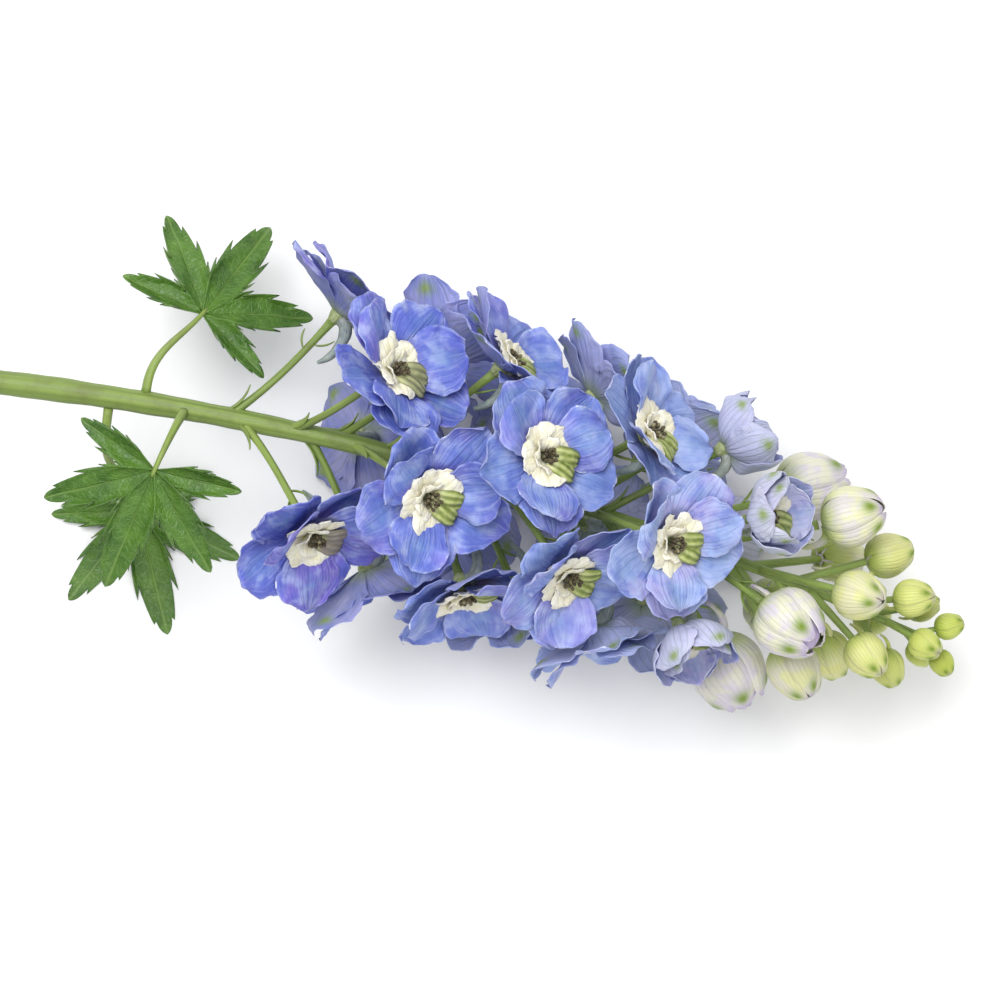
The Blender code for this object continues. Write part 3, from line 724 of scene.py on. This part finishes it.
SEPAL_BLUE = sepal_blue()
stalks = []
for index in range(OPEN_FLORETS):
    flower, sepals, closer = open_flower(index)
    age = 0.78 * index / (OPEN_FLORETS - 1)
    parts = receptacle(flower, 1, age) + sepal_blades(index, flower, sepals, age, 1.17, 0.6 * MM, 1)
    piece(f"sepals_{index + 1:02d}", parts, [SEPAL_BLUE], [f"floret_{index + 1:02d}"])
    stalks.extend(stalk(index, flower))


# The bee is the white rosette at the middle of an open floret: four broad, notched cream petals round the
# flower's back, three small ones inside them, and on the tipward side two folded green nectaries that arch over
# into the spur. A cluster of dark anthers fills its throat.
BEE_FOOT = 1.4 * MM
BEE_BASE = 2.6 * MM
ANTHERS = 14


def bee_petal(angle, length, half_width, rise, spread, draw):
    tip, turn, phase = draw.uniform(-1, 1, 3)
    return dict(
        angle=angle + 5 * DEGREE * turn, length=length * (1 + 0.06 * tip), half_width=half_width, rise=rise * DEGREE,
        spread=(spread + 7 * turn) * DEGREE, root=BEE_FOOT, base=BEE_BASE, swell=1.6, blunt=0.45, cupping=-0.1,
        twist=12 * DEGREE * turn, wave=0.9 * MM, ruffle=0.45 * MM, scallop=0.06, crimp=1.5,
        claw=0.9 * MM, phase=3 * phase, point=-0.05 - 0.04 * tip, crease=0.45 * MM, billow=0.5 * MM,
    )


def rosette(index, flower, closer, age, open_share):
    """The petals, nectaries and anthers of one flower's bee. An open share below 1 folds them upward."""
    draw = np.random.default_rng(SEED + 900 + index)
    size = float(np.interp(index, (0, 25), (1.0, 0.92)))
    shut = (1 - open_share) * 40 + closer / DEGREE
    gather = draw.uniform(0.4, 0.6) * MM
    parts = []
    for k in range(1, 5):
        form = bee_petal(72 * k * DEGREE, 11.6 * MM * size, 6.2 * MM * size, 50 + shut * 0.6, 2 + shut, draw)
        parts.append(flower_blade(form, flower, 15, 22, 0.35 * MM, tone=draw.uniform(-1, 1)))
    for k in (3, 5, 7):
        form = bee_petal(36 * k * DEGREE, 7.4 * MM * size, 4.2 * MM * size, 66 + shut * 0.3, 30 + shut, draw)
        parts.append(flower_blade(form, flower, 10, 14, 0.4 * MM, tone=draw.uniform(-1, 1)))
    for turn in (-1, 1):
        form = dict(
            angle=(turn * 15 + 3 * draw.uniform(-1, 1)) * DEGREE, length=13 * MM * size,
            half_width=3.9 * MM * size, rise=(58 + shut * 0.4) * DEGREE, spread=(-34 + shut) * DEGREE,
            root=BEE_FOOT, base=BEE_BASE + MM, swell=1.15, blunt=0.35, cupping=-0.22, twist=turn * 10 * DEGREE,
            claw=1.6 * MM, point=-0.05, ridge=0.13 * MM, wave=0.3 * MM, scallop=0.03, phase=draw.uniform(-3, 3),
        )
        parts.append(flower_blade(form, flower, 14, 18, 0.6 * MM, 1, tone=draw.uniform(-1, 1), age=age))
    for k in range(ANTHERS):
        angle = k * GOLDEN_ANGLE
        out = gather * math.sqrt(k)
        centre = np.array([out * math.cos(angle) + 0.4 * MM, out * math.sin(angle), BEE_BASE])
        lean = np.array([math.cos(angle) * 0.25, math.sin(angle) * 0.25, 1.0])
        tall = draw.uniform(2.6, 4.4) * MM
        t = np.linspace(0, 1, 7)[:, None]
        route = centre + lean * (tall + 1.5 * MM * t)
        bead = np.sqrt(np.sin(np.pi * np.linspace(0.08, 0.92, 7))) * 0.66 * MM
        parts.append(flower_tube(route, bead, flower, 7, material=2, tone=draw.uniform(-1, 1)))
        thread = centre + lean * tall * np.linspace(0, 1.1, 4)[:, None]
        parts.append(flower_tube(thread, [0.22 * MM] * 4, flower, 5, material=1, tone=0))
    return parts


def bee_cream():
    """Cream petal: warm white, yellow-green at its foot, with faint veins and a soft nap."""
    made, tree, shader = finish_shader(
        "bee_cream", 0.55, Subsurface_Weight=0.25, Subsurface_Scale=1.5 * MM, Specular_IOR_Level=0.3
    )
    shader.inputs["Subsurface Radius"].default_value = (1.0, 0.9, 0.6)
    marks = place_marks(tree, 5.0)
    cloud = noise(tree, 260.0, 2.0)
    colour = colour_ramp(tree, cloud, [(0.3, srgb(226, 219, 194)), (0.7, srgb(240, 237, 224))])
    lilac = calc(tree, "MULTIPLY", ramped(tree, attribute(tree, "tone"), 0.2, 1.0, 0.0, 0.35), marks["Rim"])
    colour = blend(tree, lilac, colour, srgb(216, 208, 234))
    colour = blend(tree, calc(tree, "MULTIPLY", marks["Vein"], 0.14), colour, srgb(206, 206, 150))
    crease = calc(tree, "MULTIPLY", marks["Smudge"], ramped(tree, cloud, 0.3, 0.6, 0.15, 0.5))
    colour = blend(tree, crease, colour, srgb(234, 228, 170))
    colour = blend(tree, calc(tree, "MULTIPLY", marks["Root"], 0.75), colour, srgb(206, 210, 110))
    tree.links.new(colour, shader.inputs["Base Color"])
    bump(tree, shader, calc(tree, "SUBTRACT", noise(tree, 900.0, 2.0), marks["Vein"]), 0.18 * MM, 0.7)
    return made


def nectary_green():
    """Nectary: yellow-green with dark olive grooves along it and a brownish end."""
    made, tree, shader = finish_shader("nectary_green", 0.42, Subsurface_Weight=0.15, Subsurface_Scale=1.2 * MM)
    shader.inputs["Subsurface Radius"].default_value = (0.8, 1.0, 0.4)
    u, v = petal_place(tree)
    grooves = calc(tree, "COSINE", calc(tree, "MULTIPLY_ADD", v, 9.4, noise(tree, 200.0)))
    streak = calc(tree, "MULTIPLY_ADD", grooves, 0.25, noise(tree, 500.0, 3.0))
    colour = colour_ramp(tree, streak, [
        (0.2, srgb(104, 118, 52)), (0.5, srgb(136, 148, 76)), (0.85, srgb(176, 184, 118)),
    ])
    colour = blend(tree, ramped(tree, u, 0.0, 0.45, 0.7, 0.0), colour, srgb(226, 224, 176))
    dusk = calc(tree, "MULTIPLY", ramped(tree, attribute(tree, "age"), 0.0, 0.3, 0.85, 0.0), ramped(tree, u, 0.1, 0.4))
    colour = blend(tree, dusk, colour, srgb(116, 102, 108))
    mouth = calc(tree, "MULTIPLY", ramped(tree, u, 0.84, 0.97), ramped(tree, calc(tree, "ABSOLUTE", v), 0.4, 0.8, 1.0, 0.0))
    colour = blend(tree, mouth, colour, srgb(62, 72, 34))
    tree.links.new(colour, shader.inputs["Base Color"])
    bump(tree, shader, grooves, 0.12 * MM)
    return made


def anther_brown():
    """Anther: dark brown, dusted with paler pollen."""
    made, tree, shader = finish_shader("anther_brown", 0.7)
    colour = colour_ramp(tree, noise(tree, 900.0, 3.0), [(0.35, srgb(52, 44, 34)), (0.75, srgb(108, 96, 66))])
    colour = blend(tree, ramped(tree, attribute(tree, "tone"), 0.3, 0.9, 0.0, 0.7), colour, srgb(160, 154, 118))
    tree.links.new(colour, shader.inputs["Base Color"])
    bump(tree, shader, noise(tree, 2500.0, 2.0), 0.25 * MM)
    return made


BEE_FINISHES = [bee_cream(), nectary_green(), anther_brown()]
for index in range(OPEN_FLORETS):
    flower, _, closer = open_flower(index)
    age = index / (OPEN_FLORETS - 1)
    piece(f"rosette_{index + 1:02d}", rosette(index, flower, closer, age, 1), BEE_FINISHES, [f"bee_{index + 1:02d}"])


# A half-open floret is a cup: its pale lilac sepals have begun to spread, and the small bee inside it still
# stands upright. Its backs are nearly white, with green veins and spots.
for number in range(HALF_OPEN_FLORETS):
    index = OPEN_FLORETS + number
    flower = flower_frame(index, *stage_lean(index))
    sepals = sepals_of(HALF_OPEN, index, 0)
    flower = settled(flower, sepals)
    age = 0.84 + 0.02 * number
    parts = receptacle(flower, 0.9, age) + sepal_blades(index, flower, sepals, age, 1.25, 0.5 * MM, 0.35)
    centre = [dict(patch, material=patch["material"] + 1) for patch in rosette(index, flower, 0, 1, 0.75)]
    piece(
        f"cup_{number + 1}", parts + centre, [SEPAL_BLUE] + BEE_FINISHES, [f"half_open_{number + 1}"]
    )
    stalks.extend(stalk(index, flower))


# A bud is an egg of five overlapping sepals, each with a green pad near its tip, round a paler core. The large
# ones are cream and lilac and part at the top. The closed ones are yellow-green, smaller toward the spike's tip,
# and each has its hooked spur.
OPENING_WIDTHS = (25 * MM, 20 * MM)
CLOSED_WIDTH = 17.5 * MM
BUD_SEPALS = 5


def bud_sepal(u, v, bud, angle, closed):
    """A sepal wrapped on an egg: its polar angle runs with u, and its half angle narrows toward the tip.

    The egg's radius is w/2 sin(p) (1 + 0.18 cos(p)) at the polar angle p. One edge stands proud of the next
    sepal, a keel follows the midrib, a pad swells near the tip, and the end puckers into a lip.
    """
    polar = 0.06 * np.pi + (closed - 0.06 * np.pi) * (u + 0.03 * u**4 * (1 - v**2))
    half = 47 * DEGREE * np.sin(np.pi * (0.1 + 0.84 * u) ** 1.1) ** 0.55
    around = angle + half * v + 0.16 * u + 0.04 * np.sin(9 * u + 3 * angle)
    proud = 0.045 * v + 0.035 * np.exp(-((v / 0.3) ** 2)) * np.sin(np.pi * u)
    pad = 0.09 * np.exp(-(((u - 0.8) / 0.11) ** 2) - (v / 0.42) ** 2)
    seam = -0.09 * np.abs(v) ** 5
    lip = bud["lip"] * smooth(u, 0.86, 1) * (1 + 0.5 * np.sin(7 * v + 4 * angle))
    radius = bud["width"] / 2 * (np.sin(polar) * (1 + 0.18 * np.cos(polar)) * (1 + proud + pad + seam) + lip)
    height = bud["foot"] + (1 - np.cos(polar)) * bud["height"] / 2 * (1 + 0.25 * pad)
    return np.stack([radius * np.cos(around), radius * np.sin(around), height], axis=-1)


def bud_parts(index, flower, width, height, foot, closed, lip, age, spur_scale):
    """Five sepals round a core, with the bud's spur. Closed is the polar angle where the sepals end."""
    draw = np.random.default_rng(SEED + 1300 + index)
    bud = dict(width=width, height=height, foot=foot, lip=lip)
    first = draw.uniform(0, 2 * math.pi)
    parts = []
    for k in range(BUD_SEPALS):
        angle = first + 2 * math.pi * k / BUD_SEPALS + 3 * DEGREE * draw.uniform(-1, 1)
        parts.append(blade(
            lambda u, v: placed(bud_sepal(u, v, bud, angle, closed + 0.06 * draw.uniform(-1, 1)), flower),
            18, 12, 0.4 * MM, age=age, tone=draw.uniform(-1, 1), core=0,
        ))
    polar = np.linspace(0.05, 0.95, 12) * np.pi
    z = foot + (1 - np.cos(polar)) * height / 2 * 0.95
    core = width / 2 * np.sin(polar) * (1 + 0.18 * np.cos(polar)) * 0.9
    parts.append(flower_tube(
        np.stack([np.full(12, 1e-6), np.zeros(12), z], axis=-1), core, flower, 14, age=age, core=1, tone=0
    ))
    length = SPUR_LENGTH * spur_scale
    route = bezier(
        np.array([1.5 * MM * spur_scale, 0, foot * 0.3]),
        np.array([0.55 * length, 0, -0.05 * length]),
        np.array([0.6 * length, 0, -0.6 * length]),
        np.array([0.36 * length, 0, -0.95 * length]),
        12,
    )
    t = np.linspace(0, 1, 12)
    parts.append(flower_tube(route, (2.3 - 1.5 * t) * MM * spur_scale, flower, 9, age=age, core=0, tone=0.2))
    return parts


def bud_skin():
    """Bud: yellow-green to lilac-white by its place, paler along seams, green at each pad, veined."""
    made, tree, shader = finish_shader(
        "bud_skin", 0.45, Subsurface_Weight=0.2, Subsurface_Scale=1.5 * MM, Specular_IOR_Level=0.4
    )
    shader.inputs["Subsurface Radius"].default_value = (0.8, 1.0, 0.4)
    marks = place_marks(tree, 9.0)
    u, _ = petal_place(tree)
    age = attribute(tree, "age")
    cloud = noise(tree, 150.0, 3.0)
    colour = colour_ramp(tree, age, [
        (0.0, srgb(212, 210, 198)), (0.3, srgb(214, 214, 176)), (0.55, srgb(208, 210, 138)), (1.0, srgb(180, 192, 84)),
    ])
    lilac = calc(tree, "MULTIPLY", ramped(tree, cloud, 0.4, 0.6), ramped(tree, age, 0.15, 0.75, 0.7, 0.0))
    colour = blend(tree, lilac, colour, srgb(200, 190, 214))
    veins = calc(tree, "MULTIPLY", marks["Vein"], ramped(tree, u, 0.2, 0.9, 0.16, 0.05))
    colour = blend(tree, veins, colour, srgb(150, 166, 84))
    lips = calc(tree, "MULTIPLY", ramped(tree, u, 0.8, 0.97), ramped(tree, age, 0.3, 0.6, 0.9, 0.3))
    colour = blend(tree, lips, colour, srgb(186, 172, 206))
    colour = blend(tree, calc(tree, "MULTIPLY", marks["Rim"], 0.5), colour, srgb(226, 224, 196))
    colour = blend(tree, ramped(tree, u, 0.05, 0.5, 0.9, 0.0), colour, srgb(150, 170, 72))
    colour = blend(tree, marks["Pad"], colour, srgb(112, 138, 34))
    inside = colour_ramp(tree, age, [(0.0, srgb(168, 150, 200)), (0.6, srgb(196, 190, 176)), (1.0, srgb(170, 180, 90))])
    colour = blend(tree, attribute(tree, "core"), colour, inside)
    tree.links.new(colour, shader.inputs["Base Color"])
    wrinkles = noise(tree, 700.0, 2.0)
    bump(tree, shader, calc(tree, "SUBTRACT", wrinkles, marks["Vein"]), 0.2 * MM, 0.7)
    return made


BUD_SKIN = bud_skin()
first_bud = OPEN_FLORETS + HALF_OPEN_FLORETS
for number in range(OPENING_BUDS):
    index = first_bud + number
    flower = flower_frame(index, *stage_lean(index))
    width = float(np.interp(number, (0, OPENING_BUDS - 1), OPENING_WIDTHS))
    parts = bud_parts(
        index, flower, width, width * 1.1, -1.5 * MM, (0.84 + 0.02 * number) * math.pi, 0.1 - 0.015 * number,
        0.08 * number, 0.85,
    )
    piece(f"opening_bud_{number + 1}", parts, [BUD_SKIN], [f"opening_{number + 1}"])
    stalks.extend(stalk(index, flower))

closed_buds = []
first_closed = first_bud + OPENING_BUDS
for index in range(first_closed, FLOWERS):
    flower = flower_frame(index, *stage_lean(index))
    size = float(np.interp(index, (first_closed, FLOWERS - 1), (1, LAST_BUD_SIZE)))
    age = float(np.interp(index, (first_closed, FLOWERS - 1), (0.42, 1)))
    closed_buds += bud_parts(
        index, flower, CLOSED_WIDTH * size, CLOSED_WIDTH * size * 1.18, -4 * MM * size, 0.955 * math.pi, 0, age,
        0.7 * size,
    )
    foot = pedicel_foot(index, flower)
    start, end = stem_point(foot), flower[1]
    route = bezier(start, start + (end - start) * 0.4 + flower[0][:, 2] * -MM, start + (end - start) * 0.7, end, 10)
    stalks.append(tube(
        route, PEDICEL_RADIUS * (0.4 + 0.6 * size) * np.linspace(1.2, 1, 10), 10, ribs=0.05, tone=0.4
    ))
    along = stem_frame(foot)[0]
    stalks.append(bract(
        start + unit(end - start) * stem_radius(foot) * 0.8, unit(end - start) + along * 0.3, along,
        9 * MM * size, 0.9 * MM * size, 0.3, 0, 0.3,
    ))
piece("closed_buds", closed_buds, [BUD_SKIN], ["stem"])
piece("stem_and_stalks", rachis() + stalks, [stalk_green(), cut_face()], ["stem"])


# Three leaves stand at the foot of the spike. Each is a thin green blade of five pointed, toothed lobes that
# are folded up a little along their midribs, on a stalk that grows out of the stem.
LEAF_LENGTH = 46 * MM
LEAF_SPREAD = 125 * DEGREE
LEAF_LOBES = (0.66, 0.88, 1, 0.88, 0.66)
LEAF_TOOTH = 0.17
PETIOLE_RADIUS = 1.3 * MM
LEAVES = (
    (62 * MM, (0.1, -1, -0.1), (14 * MM, -36 * MM, -51 * MM), (0.45, -0.9, -0.1)),
    (74 * MM, (0.2, 1, 0.1), (12 * MM, 34 * MM, -6 * MM), (0.35, 0.85, -0.5)),
    (88 * MM, (-0.2, -0.3, 1), (-4 * MM, -22 * MM, 22 * MM), (-0.2, -1, -0.25)),
)


def leaf_surface(u, v):
    """Middle surface of a leaf of five lobes, u out from its stalk and v across.

    The outline falls from each lobe's tip to the notches beside it, with teeth along both sides. The blade
    arches down toward its edge, and each lobe is folded up a little along its midrib.
    """
    angle = v * LEAF_SPREAD
    width = 2 * LEAF_SPREAD / len(LEAF_LOBES)
    number = np.clip(np.floor((angle + LEAF_SPREAD) / width), 0, len(LEAF_LOBES) - 1)
    middle = (number + 0.5) * width - LEAF_SPREAD
    off = np.abs(angle - middle) / (width / 2)
    tooth = LEAF_TOOTH * ((off * 3.2 + 0.35) % 1) * smooth(off, 0.08, 0.3) * u**4
    reach = np.array(LEAF_LOBES)[number.astype(int)] * (1 - 0.6 * off**1.15 - tooth)
    out = LEAF_LENGTH * (0.02 + 0.98 * u) * reach
    ripple = 1.1 * MM * u**2 * (np.sin(9 * u + 7 * v) + 0.5 * np.sin(21 * u - 16 * v))
    height = -0.12 * LEAF_LENGTH * (u * reach) ** 2 + 0.1 * LEAF_LENGTH * u * off + ripple
    return np.stack([out * np.cos(angle), out * np.sin(angle), height], axis=-1)


def leaf_parts(s, outward, base, pointing):
    """The blade and stalk of one leaf, as the frame's leaf stands."""
    along = stem_frame(s)[0]
    pointing = unit(np.array(pointing, float))
    outward = np.array(outward, float)
    outward = unit(outward - along * along.dot(outward))
    upper = unit(np.array([0, 0, 1.0]) - pointing * pointing[2])
    leaf = (np.column_stack([pointing, np.cross(upper, pointing), upper]), stem_point(s) + np.array(base))
    root = stem_point(s) + outward * (stem_radius(s) - GAP)
    start = root + outward * 2 * MM
    end = placed(np.array([2.5 * MM, 0, 0]), leaf)
    pull = 0.4 * np.linalg.norm(end - start)
    route = np.concatenate([[root], bezier(start, start + outward * pull, end - pointing * pull, end, 18)])
    radii = PETIOLE_RADIUS * np.linspace(1.3, 0.6, 19)
    return [
        blade(lambda u, v: placed(leaf_surface(u, v), leaf), 16, 240, 0.45 * MM, tone=0),
        tube(route, radii, 10, ribs=0.06, material=1, tone=0.5),
    ]


def leaf_green():
    """Leaf: mid green with paler veins from the stalk into each lobe, duller and greyer underneath."""
    made, tree, shader = finish_shader("leaf_green", 0.45, Subsurface_Weight=0.1, Subsurface_Scale=1.0 * MM)
    shader.inputs["Subsurface Radius"].default_value = (0.6, 1.0, 0.3)
    u, v = petal_place(tree)
    lobes = calc(tree, "MULTIPLY", calc(tree, "MULTIPLY_ADD", v, 0.5, 0.5), float(len(LEAF_LOBES)))
    off = calc(tree, "ABSOLUTE", calc(tree, "SUBTRACT", calc(tree, "FRACT", lobes), 0.5))
    midrib = ramped(tree, off, 0.0, 0.035, 1.0, 0.0)
    side = calc(tree, "COSINE", calc(tree, "SUBTRACT", calc(tree, "MULTIPLY", u, 48.0), calc(tree, "MULTIPLY", off, 60.0)))
    side = calc(tree, "POWER", calc(tree, "MULTIPLY_ADD", side, 0.5, 0.5), 14.0)
    cells = add(tree, "ShaderNodeTexVoronoi", {
        "Vector": add(tree, "ShaderNodeTexCoord").outputs["Object"], "Scale": 520.0,
    }, feature="DISTANCE_TO_EDGE").outputs["Distance"]
    net = ramped(tree, cells, 0.0, 0.12, 0.4, 0.0)
    veins = calc(tree, "MAXIMUM", midrib, calc(tree, "MAXIMUM", calc(tree, "MULTIPLY", side, 0.4), net))
    colour = colour_ramp(tree, noise(tree, 110.0, 3.0), [(0.3, srgb(48, 88, 20)), (0.7, srgb(84, 124, 38))])
    colour = blend(tree, calc(tree, "MULTIPLY", veins, 0.45), colour, srgb(128, 156, 84))
    colour = blend(tree, calc(tree, "MULTIPLY", attribute(tree, "back"), 0.6), colour, srgb(116, 138, 96))
    tree.links.new(colour, shader.inputs["Base Color"])
    bump(tree, shader, calc(tree, "SUBTRACT", noise(tree, 700.0, 2.0), veins), 0.3 * MM)
    return made


LEAF_FINISHES = [leaf_green(), bpy.data.materials["stalk_green"]]
for number, place in enumerate(LEAVES):
    piece(f"leaf_blade_{number + 1}", leaf_parts(*place), LEAF_FINISHES, [f"leaf_{number + 1}"])


# A plain pale surface under soft studio light: one wide panel above to the upper left, a dimmer one opposite,
# and an even white surround.
ROLL = 13 * DEGREE
CAMERA_HEIGHT = 1.7
FRAME_WIDTH = 0.34
FRAME_CENTRE = (0.018, -0.001)


def studio_floor():
    mesh = bpy.data.meshes.new("floor")
    half = 4.0
    mesh.from_pydata([(-half, -half, 0), (half, -half, 0), (half, half, 0), (-half, half, 0)], [], [(0, 1, 2, 3)])
    made = bpy.data.objects.new("floor", mesh)
    finish, _, shader = finish_shader("floor_white", 0.7)
    shader.inputs["Base Color"].default_value = (0.9, 0.9, 0.91, 1)
    mesh.materials.append(finish)
    bpy.context.scene.collection.objects.link(made)


def panel(name, place, size, power):
    """A square soft light that faces the spike."""
    light = bpy.data.lights.new(name, "AREA")
    light.size = size
    light.energy = power
    made = bpy.data.objects.new(name, light)
    place = np.array(place, float)
    back = unit(place)
    side = unit(np.cross((0.001, 1, 0), back))
    turn = np.column_stack([side, np.cross(back, side), back])
    made.matrix_world = Matrix([[*turn[k], place[k]] for k in range(3)] + [[0, 0, 0, 1]])
    bpy.context.scene.collection.objects.link(made)


studio_floor()
panel("key_panel", (-0.32, 0.42, 1.45), 1.0, 24)
panel("fill_panel", (0.9, -0.8, 1.0), 1.0, 6)
world = bpy.data.worlds.new("surround")
world.use_nodes = True
world.node_tree.nodes["Background"].inputs["Color"].default_value = (1, 1, 1, 1)
world.node_tree.nodes["Background"].inputs["Strength"].default_value = 0.55
bpy.context.scene.world = world
bpy.context.scene.view_settings.view_transform = "Standard"

camera = bpy.data.objects.new("camera", bpy.data.cameras.new("camera"))
camera.data.lens = camera.data.sensor_width * CAMERA_HEIGHT / FRAME_WIDTH
camera.location = (*FRAME_CENTRE, STEM_HEIGHT + CAMERA_HEIGHT)
camera.rotation_euler = (0, 0, ROLL)
camera.data.clip_start = 0.1
bpy.context.scene.collection.objects.link(camera)
bpy.context.scene.camera = camera
